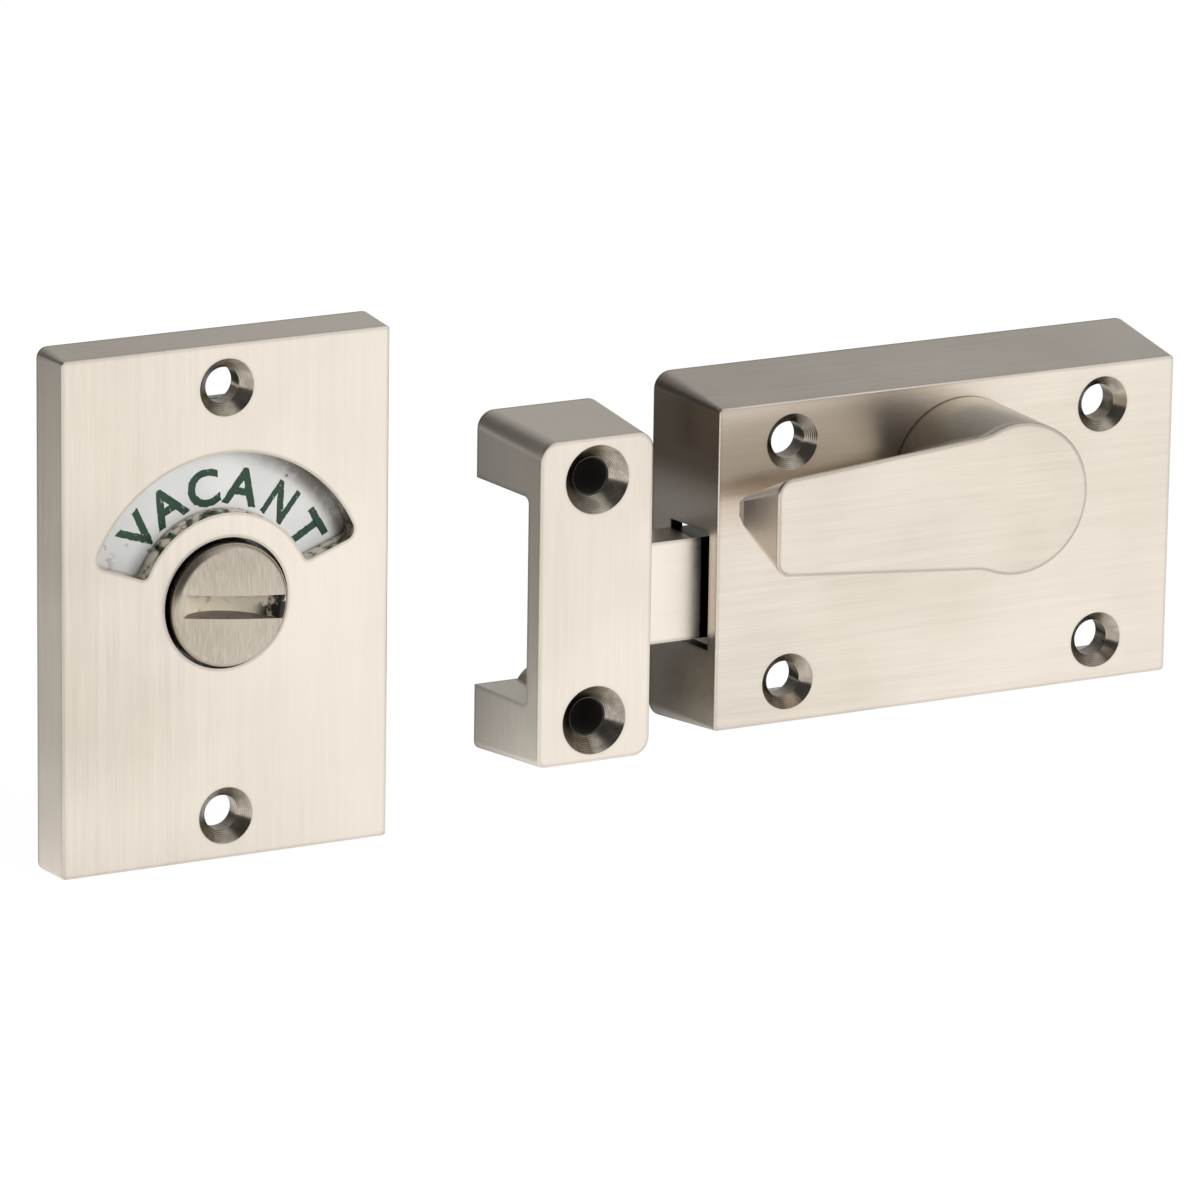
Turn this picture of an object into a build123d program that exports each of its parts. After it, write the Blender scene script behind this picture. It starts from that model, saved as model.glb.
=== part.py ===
from build123d import *

import os
from math import acos, cos, pi, radians, sin, sqrt, tan

# Toilet indicator bolt: a rim bolt with a lever turn, the keep that its bolt shoots into,
# and the indicator plate with a coin turn that goes on the other side of the door.
# All lengths are in millimetres. X runs to the right, Y into the door and Z up. The three
# units stand side by side, with their backs on the plane Y = 0. The origin is the centre of
# the bolt case's back. A "front" distance is measured from that plane towards the user,
# which is towards minus Y.

# Values that several pieces share
overrun = 1.0                    # how far a cut runs past the face it opens
running_gap = 0.06               # radial play of a turning journal
slide_gap = 0.1                  # play of the bolt in its guides
fixed_gap = 0.03                 # play of a pin or a screw in its own hole
face_gap = 0.15                  # end play between a turning face and a still one
countersink_angle = 90.0
half_turn = 180.0

# Bolt case, a thick casting that tapers from its back to its flat front
case_width = 76.0                # at the front
case_height = 48.2
case_depth = 16.4
case_draft = 2.0                 # how much further each side stands out at the back
case_front_corner = 0.6
case_back_corner = 2.6
case_side_wall = 1.9
case_front_wall = 2.0
case_edge = 0.25                 # linished front edge
case_screw_spacing_x = 52.0
case_screw_spacing_z = 36.0
case_screw_hole_r = 2.7
case_screw_sink_r = 4.2
case_pad_r = 4.6
case_pad_height = 2.5

# Bolt, a flat bar with a rack standing on its top edge
bolt_height = 15.2
bolt_thick = 6.5
bolt_front_setback = 4.7         # bolt face behind the case front
bolt_centre_z = -3.6
bolt_nose_x = -54.5              # thrown
bolt_tail_x = 20.0
bolt_nose_chamfer = 0.6
bolt_edge = 0.3
bolt_mouth_back_gap = 0.4        # case opening behind the bolt
bolt_mouth_side_gap = 1.2        # case opening above and below it

# Pinion and rack
gear_module = 1.0
pinion_teeth = 9
pressure_angle = 20.0
profile_shift_share = 0.47       # of the module, so that few teeth need no undercut
pinion_tip_share = 1.1           # tip above the pitch circle, in modules
rack_tip_share = 0.4             # rack tip above the pitch line, in modules
gear_root_clearance = 0.2
tooth_backlash = 0.15            # taken off each tooth's thickness
rack_length = 23.0

# Lever turn
pivot_x = 2.3
pivot_z = 10.35
turn_projection = 16.9           # lever face in front of the case
turn_stem_r = 11.35
lever_reach = 39.8               # pivot to the lever's end
lever_half_at_stem = 10.65
lever_half_at_end = 7.2
lever_thick = 13.0
lever_keel_drop = 6.0            # each finger side's slope, from the front to the keel
lever_keel_depth = 2.8           # depth of the keel's rounding
lever_keel_bevel = 0.9           # how far the rounding takes each side in
lever_keel_setback = 1.3         # how far it takes the keel's end in
lever_keel_shares = (1, 0.3, 0)  # where the rounding's sections stand in its depth
lever_corner_share = 0.33        # corner radius of the lever's end in its half width
turn_blend = 3.5                 # hollow between stem and lever
turn_front_edge = 0.3
shank_side = 5.6                 # square end of the spindle
shank_length = 10.9
shank_corner = 0.5
grub_r = 1.7
grub_length = 5.0
grub_socket_r = 0.9
grub_socket_depth = 2.0
grub_front_share = 0.5           # along the shank

# Spindle that carries the pinion
journal_r = 4.5
pivot_boss_r = 7.0
pivot_boss_height = 1.4
turn_washer_r = 6.8
turn_washer_thick = 0.7
hub_r = 5.0
hub_recess = 0.1                 # hub end inside the back plane
pinion_back_setback = 0.2        # pinion teeth in front of the hub side of the bolt
pinion_front_overlap = 0.3       # teeth past the bolt's face
tail_bar_side = 5.0
tail_socket_gap = 0.1
tail_socket_depth = 4.6

# Back plate of the case, its lugs and screws
plate_thick = 2.0
plate_width = 34.5
plate_margin_z = 0.6             # from the case's rim at the front to the plate's edge
plate_corner = 1.5
plate_centre_x = 3.25
plate_screw_spacing_x = 27.5
plate_screw_edge = 3.3           # from the plate's long edge to a screw's centre
lug_width = 6.0
lug_height = 6.4
small_screw_r = 1.4
small_screw_head_r = 2.6
small_screw_length = 8.0
small_screw_slot = 0.8
small_screw_slot_depth = 0.6

# Guides inside the case
rail_width = 2.0
rail_offset_z = 6.0              # rail centres above and below the bolt's middle
rail_left_x = -30.0
rail_right_x = 34.6
ledge_thick = 2.4
ledge_left_x = -36.0
top_guide_thick = 2.0
top_guide_left_x = -30.0
top_guide_right_x = -19.0
stop_pin_r = 1.5
stop_pin_x = -10.0
stop_boss_r = 3.0
stop_pin_seat_depth = 2.0        # pin inside its boss
stop_slot_gap = 0.15

# Leaf spring that presses the bolt against its rails
spring_width = 6.0
spring_thick = 0.5
spring_left_x = -6.0
spring_length = 20.0
spring_foot = 4.0
spring_seat_gap = 0.3
spring_rivet_r = 0.9
spring_rivet_head_r = 1.7
spring_rivet_head = 0.5

# Keep, a bridge-shaped casting open at both sides
keep_centre_x = -57.7
keep_centre_z = -2.0
keep_width = 18.1                # at the front
keep_height = 48.2
keep_outer_draft = 1.9
keep_inner_draft = 0.2
keep_end_draft = 1.2
keep_corner = 2.6
keep_foot_corner = 1.2           # lower corner on the outer side
keep_front_wall = 3.1
keep_mouth_height = 31.0
keep_mouth_corner = 1.0
keep_screw_spacing = 35.8
keep_screw_hole_r = 2.7
keep_screw_sink_r = 5.1
keep_boss_front_r = 5.3
keep_boss_back_r = 4.6
keep_edge = 0.3

# Indicator plate, a shallow open-backed casting
sign_centre_x = -111.8
sign_centre_z = 1.7
sign_width = 50.8                # at the front
sign_height = 75.4
sign_depth = 7.2
sign_draft = 0.6
sign_front_corner = 0.5
sign_back_corner = 1.6
sign_side_wall = 2.0
sign_front_wall = 3.0
sign_edge = 0.25
sign_screw_spacing = 62.8
sign_screw_hole_r = 2.6
sign_screw_sink_r = 4.2
sign_pad_r = 5.0
sign_pad_height = 1.2
window_outer_r = 21.9
window_inner_r = 13.2
window_half_angle = 69.5
window_outer_corner = 1.6
window_inner_corner = 0.9
coin_hole_r = 9.6

# Coin turn, its disc and what holds them
coin_r = 9.0
coin_side_rise = 1.9             # side in front of the plate, up to the face's edge
coin_edge_r = 1.1                # rounded edge between side and face
coin_dome_rise = 0.7             # crown of the face
coin_slot_width = 3.4
coin_slot_half_length = 7.4
coin_slot_tilt = 6.5             # degrees clockwise from level, where the turn rests
coin_slot_depth = 4.3
coin_stub_r = 4.6
coin_stub_out = 4.8              # stub behind the back plane
disc_r = 23.3
disc_thick = 0.8
disc_front_gap = 0.3             # disc behind the plate's inner face
disc_rivet_ring_r = 7.0
disc_rivet_r = 0.8
disc_rivet_head_r = 1.3
disc_rivet_head = 0.3
disc_rivet_depth = 2.0
disc_rivets_count = 4
first_rivet_angle = 45.0
sign_washer_r = 5.5
sign_washer_inner_r = 4.8
sign_washer_thick = 1.4
bridge_thick = 1.5
bridge_web = 15.0
bridge_end_width = 31.0
bridge_end_height = 6.0
bridge_screw_spacing_x = 24.0
bridge_screw_spacing_z = 51.0
bridge_end_corner = 1.0
bridge_pad_r = 3.0
bridge_screw_length = 4.2
sign_stop_ring_r = 11.5
sign_stop_r = 1.0
sign_stop_gap = 0.25
ring_outer_r = 6.4
ring_groove_r = 4.1
ring_thick = 0.8
ring_gap = 0.1
ring_opening_angle = 70.0
tail_bar_inside = 3.4            # bar inside the coin turn, in front of the back plane
tail_bar_out = 48.0              # bar behind the back plane
tail_bar_chamfer = 0.5
tail_pin_r = 0.8
tail_pin_back = 2.9
tail_pin_half_length = 4.4

# Places that follow from the sizes above
cavity_front = case_depth - case_front_wall
bolt_front = case_depth - bolt_front_setback
bolt_back = bolt_front - bolt_thick
bolt_top_z = bolt_centre_z + bolt_height / 2
bolt_bottom_z = bolt_centre_z - bolt_height / 2
bolt_length = bolt_tail_x - bolt_nose_x
pitch_r = gear_module * pinion_teeth / 2
tooth_pitch = pi * gear_module
bolt_throw = pi * pitch_r
pinion_tip_r = pitch_r + gear_module * pinion_tip_share
pinion_root_r = pitch_r - gear_module * rack_tip_share - gear_root_clearance
base_r = pitch_r * cos(radians(pressure_angle))
pitch_line_z = pivot_z - pitch_r
rack_tip_z = pitch_line_z + gear_module * rack_tip_share
rack_root_z = pivot_z - pinion_tip_r - gear_root_clearance
flank_slope = tan(radians(pressure_angle))
shift = gear_module * profile_shift_share
pinion_tooth_thick = tooth_pitch / 2 + 2 * shift * flank_slope - tooth_backlash
rack_tooth_thick = tooth_pitch / 2 - 2 * shift * flank_slope - tooth_backlash
pinion_back = bolt_back - pinion_back_setback
pinion_front = bolt_front + pinion_front_overlap
pivot_boss_back = cavity_front - pivot_boss_height
turn_back = case_depth + face_gap
turn_front = case_depth + turn_projection
lever_back = turn_front - lever_thick
rail_back = bolt_front + slide_gap
plate_height = case_height - 2 * plate_margin_z
plate_screw_spacing_z = plate_height - 2 * plate_screw_edge
lug_outer_z = case_height / 2 - slide_gap
lug_inner_z = lug_outer_z - lug_height
stop_boss_back = rail_back
stop_pin_front = stop_boss_back + stop_pin_seat_depth
spring_crown = bolt_back - spring_seat_gap
spring_right_x = spring_left_x + spring_length
spring_rivet_x = spring_right_x + spring_foot / 2
sign_cavity_front = sign_depth - sign_front_wall
disc_front = sign_cavity_front - disc_front_gap
disc_back = disc_front - disc_thick
coin_face_edge = sign_depth + coin_side_rise
coin_crown = coin_face_edge + coin_dome_rise


def facing(front, x=0, z=0):
    """Sketch plane parallel to the door, looking at the user, at a front distance."""
    return Plane(origin=(x, -front, z), x_dir=(1, 0, 0), z_dir=(0, -1, 0))


def backing(front, x=0, z=0):
    """Sketch plane parallel to the door that looks into the door."""
    return Plane(origin=(x, -front, z), x_dir=(-1, 0, 0), z_dir=(0, 1, 0))


def involute(angle):
    return tan(angle) - angle


def flank_angle(radius):
    """Half the angle that a pinion tooth spans at a radius."""
    at_pitch = pinion_tooth_thick / (2 * pitch_r) + involute(radians(pressure_angle))
    return at_pitch - involute(acos(min(base_r / radius, 1)))


def flank_point(radius, side):
    """Point of a tooth that stands along X, on one of its two flanks."""
    angle = side * flank_angle(max(radius, base_r))
    return (radius * cos(angle), radius * sin(angle))


def save(piece, name):
    piece.part.label = name
    export_step(piece.part, f"parts/{name}.step")


os.makedirs("parts", exist_ok=True)

# Bolt case
with BuildPart() as bolt_case:
    with BuildSketch(facing(0)):
        RectangleRounded(case_width + 2 * case_draft, case_height + 2 * case_draft, case_back_corner)
    with BuildSketch(facing(case_depth)):
        RectangleRounded(case_width, case_height, case_front_corner)
    loft(ruled=True)
    fillet(bolt_case.faces().sort_by(Axis.Y)[0].edges(), case_edge)
    cavity_draft = case_draft * case_front_wall / case_depth
    with BuildSketch(facing(0)):
        RectangleRounded(
            case_width + 2 * (case_draft - case_side_wall),
            case_height + 2 * (case_draft - case_side_wall),
            case_front_corner,
        )
    with BuildSketch(facing(cavity_front)):
        RectangleRounded(
            case_width + 2 * (cavity_draft - case_side_wall),
            case_height + 2 * (cavity_draft - case_side_wall),
            case_front_corner,
        )
    loft(ruled=True, mode=Mode.SUBTRACT)
    # The opening that the bolt shoots through, in the left wall
    mouth_back = bolt_back - bolt_mouth_back_gap
    mouth_deep = 2 * case_side_wall + case_draft
    with BuildSketch(facing(mouth_back, -case_width / 2 - case_draft - overrun, bolt_centre_z)):
        Rectangle(
            mouth_deep + overrun,
            bolt_height + 2 * bolt_mouth_side_gap,
            align=(Align.MIN, Align.CENTER),
        )
    extrude(amount=cavity_front - mouth_back, mode=Mode.SUBTRACT)
    # Pads behind the four wood screws, the pivot boss and the stop pin's boss
    with BuildSketch(facing(cavity_front - case_pad_height)):
        with GridLocations(case_screw_spacing_x, case_screw_spacing_z, 2, 2):
            Circle(case_pad_r)
    extrude(amount=case_pad_height + case_front_wall / 2)
    with BuildSketch(facing(pivot_boss_back, pivot_x, pivot_z)):
        Circle(pivot_boss_r)
    extrude(amount=pivot_boss_height + case_front_wall / 2)
    with BuildSketch(facing(stop_boss_back, stop_pin_x, bolt_centre_z)):
        Circle(stop_boss_r)
    extrude(amount=cavity_front - stop_boss_back + case_front_wall / 2)
    # Lugs that the back plate is screwed to
    with BuildSketch(facing(plate_thick, plate_centre_x)):
        for side in (-1, 1):
            with Locations((0, side * (lug_inner_z + lug_outer_z) / 2)):
                with GridLocations(plate_screw_spacing_x, 0, 2, 1):
                    Rectangle(lug_width, lug_outer_z - lug_inner_z)
    extrude(amount=cavity_front - plate_thick + case_front_wall / 2)
    # Two rails in front of the bolt, a ledge below it and a guide above its nose end
    rail_length = rail_right_x - rail_left_x
    with BuildSketch(facing(rail_back, (rail_left_x + rail_right_x) / 2, bolt_centre_z)):
        with GridLocations(0, 2 * rail_offset_z, 1, 2):
            Rectangle(rail_length, rail_width)
    extrude(amount=cavity_front - rail_back + case_front_wall / 2)
    with BuildSketch(facing(bolt_back)):
        with Locations((ledge_left_x, bolt_bottom_z - slide_gap)):
            Rectangle(rail_right_x - ledge_left_x, ledge_thick, align=(Align.MIN, Align.MAX))
        with Locations((top_guide_left_x, bolt_top_z + slide_gap)):
            Rectangle(top_guide_right_x - top_guide_left_x, top_guide_thick, align=(Align.MIN, Align.MIN))
    extrude(amount=cavity_front - bolt_back + case_front_wall / 2)
    # Holes
    with Locations(facing(case_depth)):
        with GridLocations(case_screw_spacing_x, case_screw_spacing_z, 2, 2):
            CounterSinkHole(
                case_screw_hole_r,
                case_screw_sink_r,
                depth=case_front_wall + case_pad_height + overrun,
                counter_sink_angle=countersink_angle,
            )
    with Locations(facing(case_depth, pivot_x, pivot_z)):
        Hole(journal_r + running_gap, depth=case_depth - pivot_boss_back + overrun)
    with Locations(backing(stop_boss_back, stop_pin_x, bolt_centre_z)):
        Hole(stop_pin_r + fixed_gap, depth=stop_pin_seat_depth + fixed_gap)
    with Locations(backing(plate_thick, plate_centre_x)):
        with GridLocations(plate_screw_spacing_x, plate_screw_spacing_z, 2, 2):
            Hole(small_screw_r + fixed_gap, depth=small_screw_length)
save(bolt_case, "bolt_case")

# Bolt with its rack
with BuildPart() as bolt:
    with BuildSketch(facing(bolt_back, 0, bolt_centre_z)):
        with Locations((bolt_nose_x, 0)):
            Rectangle(bolt_length, bolt_height, align=(Align.MIN, Align.CENTER))
    extrude(amount=bolt_thick)
    chamfer(bolt.faces().sort_by(Axis.X)[0].edges(), bolt_nose_chamfer)
    chamfer(bolt.faces().sort_by(Axis.X)[-1].edges(), bolt_edge)
    rack_left_x = pivot_x - bolt_throw - (rack_length - bolt_throw) / 2
    with BuildSketch(facing(bolt_back)):
        with Locations((rack_left_x, bolt_top_z - bolt_edge)):
            Rectangle(rack_length, rack_root_z - bolt_top_z + bolt_edge, align=(Align.MIN, Align.MIN))
        tip_half = rack_tooth_thick / 2 - (rack_tip_z - pitch_line_z) * flank_slope
        root_half = rack_tooth_thick / 2 + (pitch_line_z - rack_root_z) * flank_slope
        teeth_left = int((pivot_x - rack_left_x - root_half) / tooth_pitch - 1 / 2)
        teeth_right = int((rack_left_x + rack_length - pivot_x - root_half) / tooth_pitch - 1 / 2)
        for step in range(-teeth_left - 1, teeth_right + 1):
            tooth_x = pivot_x + (step + 1 / 2) * tooth_pitch
            with BuildLine():
                Polyline(
                    (tooth_x - root_half, rack_root_z),
                    (tooth_x - tip_half, rack_tip_z),
                    (tooth_x + tip_half, rack_tip_z),
                    (tooth_x + root_half, rack_root_z),
                    close=True,
                )
            make_face()
    extrude(amount=bolt_thick)
    # Slot that the stop pin runs in
    slot_half = stop_pin_r + stop_slot_gap
    with BuildSketch(facing(bolt_back, stop_pin_x - bolt_throw / 2, bolt_centre_z)):
        SlotOverall(bolt_throw + 2 * slot_half, 2 * slot_half)
    extrude(amount=bolt_thick, mode=Mode.SUBTRACT)
save(bolt, "bolt")

# Spindle with its square shank, journal, pinion and socketed hub
with BuildSketch() as pinion_tooth:
    with BuildLine():
        mid_r = (base_r + pinion_tip_r) / 2
        inner_r = pinion_root_r - gear_root_clearance
        Line(flank_point(inner_r, -1), flank_point(base_r, -1))
        ThreePointArc(flank_point(base_r, -1), flank_point(mid_r, -1), flank_point(pinion_tip_r, -1))
        Line(flank_point(pinion_tip_r, -1), flank_point(pinion_tip_r, 1))
        ThreePointArc(flank_point(pinion_tip_r, 1), flank_point(mid_r, 1), flank_point(base_r, 1))
        Line(flank_point(base_r, 1), flank_point(inner_r, 1))
        Line(flank_point(inner_r, 1), flank_point(inner_r, -1))
    make_face()

with BuildPart() as drive_pinion:
    with BuildSketch(facing(hub_recess, pivot_x, pivot_z)):
        Circle(hub_r)
    extrude(amount=pinion_back - hub_recess)
    with BuildSketch(facing(pinion_back, pivot_x, pivot_z)):
        Circle(pinion_root_r)
        with PolarLocations(0, pinion_teeth, start_angle=-half_turn / 2):
            add(pinion_tooth.sketch)
    extrude(amount=pinion_front - pinion_back)
    with BuildSketch(facing(pinion_front, pivot_x, pivot_z)):
        Circle(journal_r)
    extrude(amount=turn_back - pinion_front)
    with BuildSketch(facing(turn_back, pivot_x, pivot_z)):
        RectangleRounded(shank_side, shank_side, shank_corner)
    extrude(amount=shank_length)
    with BuildSketch(facing(hub_recess, pivot_x, pivot_z)):
        Rectangle(tail_bar_side + 2 * tail_socket_gap, tail_bar_side + 2 * tail_socket_gap)
    extrude(amount=tail_socket_depth, mode=Mode.SUBTRACT)
save(drive_pinion, "drive_pinion")

# Lever turn: a round stem with a wedge-backed lever cast on one side
with BuildPart() as thumbturn:
    lever_sections = [(turn_front, 0, lever_reach)]
    for share in lever_keel_shares:
        pull = 1 - sqrt(1 - (1 - share) ** 2)
        slope_drop = lever_keel_drop * (1 - share * lever_keel_depth / lever_thick)
        lever_sections.append((
            lever_back + share * lever_keel_depth,
            slope_drop + pull * lever_keel_bevel,
            lever_reach - pull * lever_keel_setback,
        ))
    for front, drop, reach in lever_sections:
        half_stem = lever_half_at_stem - drop
        half_end = lever_half_at_end - drop
        with BuildSketch(facing(front, pivot_x, pivot_z)) as lever_section:
            with BuildLine():
                Polyline((0, half_stem), (-reach, half_end), (-reach, -half_end), (0, -half_stem), close=True)
            make_face()
            fillet(lever_section.vertices().group_by(Axis.X)[0], lever_corner_share * half_end)
    loft(ruled=True)
    with BuildSketch(facing(turn_back, pivot_x, pivot_z)):
        Circle(turn_stem_r)
    extrude(amount=turn_front - turn_back)
    stem = thumbturn.faces().filter_by(GeomType.CYLINDER).sort_by(SortBy.AREA)[-1]
    hollow = stem.edges().filter_by_position(Axis.Y, -turn_front, -turn_back, (False, False))
    fillet(hollow.filter_by(Axis.Y, reverse=True), turn_blend)
    fillet(thumbturn.faces().sort_by(Axis.Y)[0].edges(), turn_front_edge)
    socket_side = shank_side + 2 * (slide_gap / 2)
    with BuildSketch(facing(turn_back, pivot_x, pivot_z)):
        RectangleRounded(socket_side, socket_side, shank_corner)
    extrude(amount=shank_length + slide_gap, mode=Mode.SUBTRACT)
    grub_y = -(turn_back + shank_length * grub_front_share)
    grub_mouth = Plane(origin=(pivot_x, grub_y, pivot_z - turn_stem_r), x_dir=(1, 0, 0), z_dir=(0, 0, -1))
    with Locations(grub_mouth):
        Hole(grub_r + fixed_gap, depth=turn_stem_r)
save(thumbturn, "thumbturn")

# Grub screw that presses on the spindle's square end
with BuildPart() as turn_grub_screw:
    grub_top_z = pivot_z - shank_side / 2 - fixed_gap
    grub_bottom = Plane(origin=(pivot_x, grub_y, grub_top_z - grub_length), x_dir=(1, 0, 0), z_dir=(0, 0, 1))
    with BuildSketch(grub_bottom):
        Circle(grub_r)
    extrude(amount=grub_length)
    with BuildSketch(grub_bottom):
        RegularPolygon(grub_socket_r, 6)
    extrude(amount=grub_socket_depth, mode=Mode.SUBTRACT)
save(turn_grub_screw, "turn_grub_screw")

# Washer between the pinion and the pivot boss
with BuildPart() as turn_washer:
    with BuildSketch(facing(pinion_front + face_gap, pivot_x, pivot_z)):
        Circle(turn_washer_r)
        Circle(journal_r + slide_gap, mode=Mode.SUBTRACT)
    extrude(amount=turn_washer_thick)
save(turn_washer, "turn_washer")

# Back plate that closes the case behind the spindle
with BuildPart() as back_plate:
    with BuildSketch(facing(0, plate_centre_x)):
        RectangleRounded(plate_width, plate_height, plate_corner)
    extrude(amount=plate_thick)
    with Locations(backing(0, pivot_x, pivot_z)):
        Hole(hub_r + running_gap, depth=plate_thick + overrun)
    with Locations(backing(0, stop_pin_x, bolt_centre_z)):
        Hole(stop_pin_r + fixed_gap, depth=plate_thick + overrun)
    with Locations(backing(0, spring_rivet_x, bolt_centre_z)):
        Hole(spring_rivet_r + fixed_gap, depth=plate_thick + overrun)
    with Locations(backing(0, plate_centre_x)):
        with GridLocations(plate_screw_spacing_x, plate_screw_spacing_z, 2, 2):
            CounterSinkHole(
                small_screw_r + fixed_gap,
                small_screw_head_r + slide_gap,
                depth=plate_thick + overrun,
                counter_sink_angle=countersink_angle,
            )
save(back_plate, "back_plate")

# Screws of the back plate, countersunk and slotted, driven in from behind
small_screw_head = small_screw_head_r - small_screw_r
with BuildPart() as back_plate_screws:
    with BuildSketch(facing(hub_recess, plate_centre_x)):
        with GridLocations(plate_screw_spacing_x, plate_screw_spacing_z, 2, 2):
            Circle(small_screw_head_r)
    extrude(amount=small_screw_head, taper=countersink_angle / 2)
    with BuildSketch(facing(hub_recess, plate_centre_x)):
        with GridLocations(plate_screw_spacing_x, plate_screw_spacing_z, 2, 2):
            Circle(small_screw_r)
    extrude(amount=small_screw_length - hub_recess)
    with BuildSketch(facing(hub_recess, plate_centre_x)):
        with GridLocations(plate_screw_spacing_x, plate_screw_spacing_z, 2, 2):
            Rectangle(2 * small_screw_head_r, small_screw_slot)
    extrude(amount=small_screw_slot_depth, mode=Mode.SUBTRACT)
save(back_plate_screws, "back_plate_screws")

# Stop pin that the bolt's slot runs on
with BuildPart() as stop_pin:
    with BuildSketch(facing(0, stop_pin_x, bolt_centre_z)):
        Circle(stop_pin_r)
    extrude(amount=stop_pin_front)
save(stop_pin, "stop_pin")

# Leaf spring behind the bolt, bowed between its two ends, with a flat foot
with BuildPart() as bolt_spring:
    crown_x = spring_left_x + spring_length / 2
    foot_end_x = spring_right_x + spring_foot
    leaf_low = plate_thick + spring_thick
    with BuildSketch(Plane.XY.offset(bolt_centre_z - spring_width / 2)):
        with BuildLine():
            ThreePointArc(
                (spring_left_x, -plate_thick),
                (crown_x, -spring_crown + spring_thick),
                (spring_right_x, -plate_thick),
            )
            Line((spring_right_x, -plate_thick), (foot_end_x, -plate_thick))
            Line((foot_end_x, -plate_thick), (foot_end_x, -leaf_low))
            Line((foot_end_x, -leaf_low), (spring_right_x, -leaf_low))
            ThreePointArc(
                (spring_right_x, -leaf_low),
                (crown_x, -spring_crown),
                (spring_left_x, -leaf_low),
            )
            Line((spring_left_x, -leaf_low), (spring_left_x, -plate_thick))
        make_face()
    extrude(amount=spring_width)
    with Locations(backing(plate_thick, spring_rivet_x, bolt_centre_z)):
        Hole(spring_rivet_r + fixed_gap, depth=spring_thick + overrun)
save(bolt_spring, "bolt_spring")

# Rivet of the leaf spring
with BuildPart() as spring_rivet:
    with BuildSketch(facing(hub_recess, spring_rivet_x, bolt_centre_z)):
        Circle(spring_rivet_r)
    extrude(amount=leaf_low - hub_recess)
    with BuildSketch(facing(leaf_low, spring_rivet_x, bolt_centre_z)):
        Circle(spring_rivet_head_r)
    extrude(amount=spring_rivet_head)
save(spring_rivet, "spring_rivet")

# Keep, a bridge with two legs that the bolt shoots into from either side
with BuildPart() as keep:
    foot_x = keep_centre_x - keep_width / 2
    for front, spread in ((0, 1), (case_depth, 0)):
        left = foot_x - spread * keep_outer_draft
        right = foot_x + keep_width + spread * keep_inner_draft
        half_high = keep_height / 2 + spread * keep_end_draft
        with BuildSketch(facing(front, 0, keep_centre_z)) as keep_outline:
            with Locations(((left + right) / 2, 0)):
                Rectangle(right - left, 2 * half_high)
            corners = keep_outline.vertices().group_by(Axis.X)
            fillet(corners[0].sort_by(Axis.Y)[0], keep_foot_corner)
            fillet(keep_outline.vertices().group_by(Axis.X)[-1], keep_corner)
            fillet(keep_outline.vertices().group_by(Axis.X)[0].sort_by(Axis.Y)[-1], keep_corner)
    loft(ruled=True)
    fillet(keep.faces().sort_by(Axis.Y)[0].edges(), keep_edge)
    mouth_front = case_depth - keep_front_wall
    mouth_wide = keep_width + keep_outer_draft + keep_inner_draft + 2 * overrun
    with BuildSketch(facing(0, keep_centre_x, keep_centre_z)):
        Rectangle(mouth_wide, keep_mouth_height)
    extrude(amount=mouth_front, mode=Mode.SUBTRACT)
    mouth_roof = keep.faces().filter_by(Axis.Y).filter_by_position(
        Axis.Y, -mouth_front - overrun, -mouth_front + overrun
    )
    fillet(mouth_roof.edges().filter_by(Axis.X), keep_mouth_corner)
    for side in (-1, 1):
        boss_z = keep_centre_z + side * keep_screw_spacing / 2
        with BuildSketch(facing(0, keep_centre_x, boss_z)):
            Circle(keep_boss_back_r)
        with BuildSketch(facing(mouth_front + keep_front_wall / 2, keep_centre_x, boss_z)):
            Circle(keep_boss_front_r)
        loft()
    with Locations(facing(case_depth, keep_centre_x, keep_centre_z)):
        with GridLocations(0, keep_screw_spacing, 1, 2):
            CounterSinkHole(
                keep_screw_hole_r,
                keep_screw_sink_r,
                depth=case_depth + overrun,
                counter_sink_angle=countersink_angle,
            )
save(keep, "keep")

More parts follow.
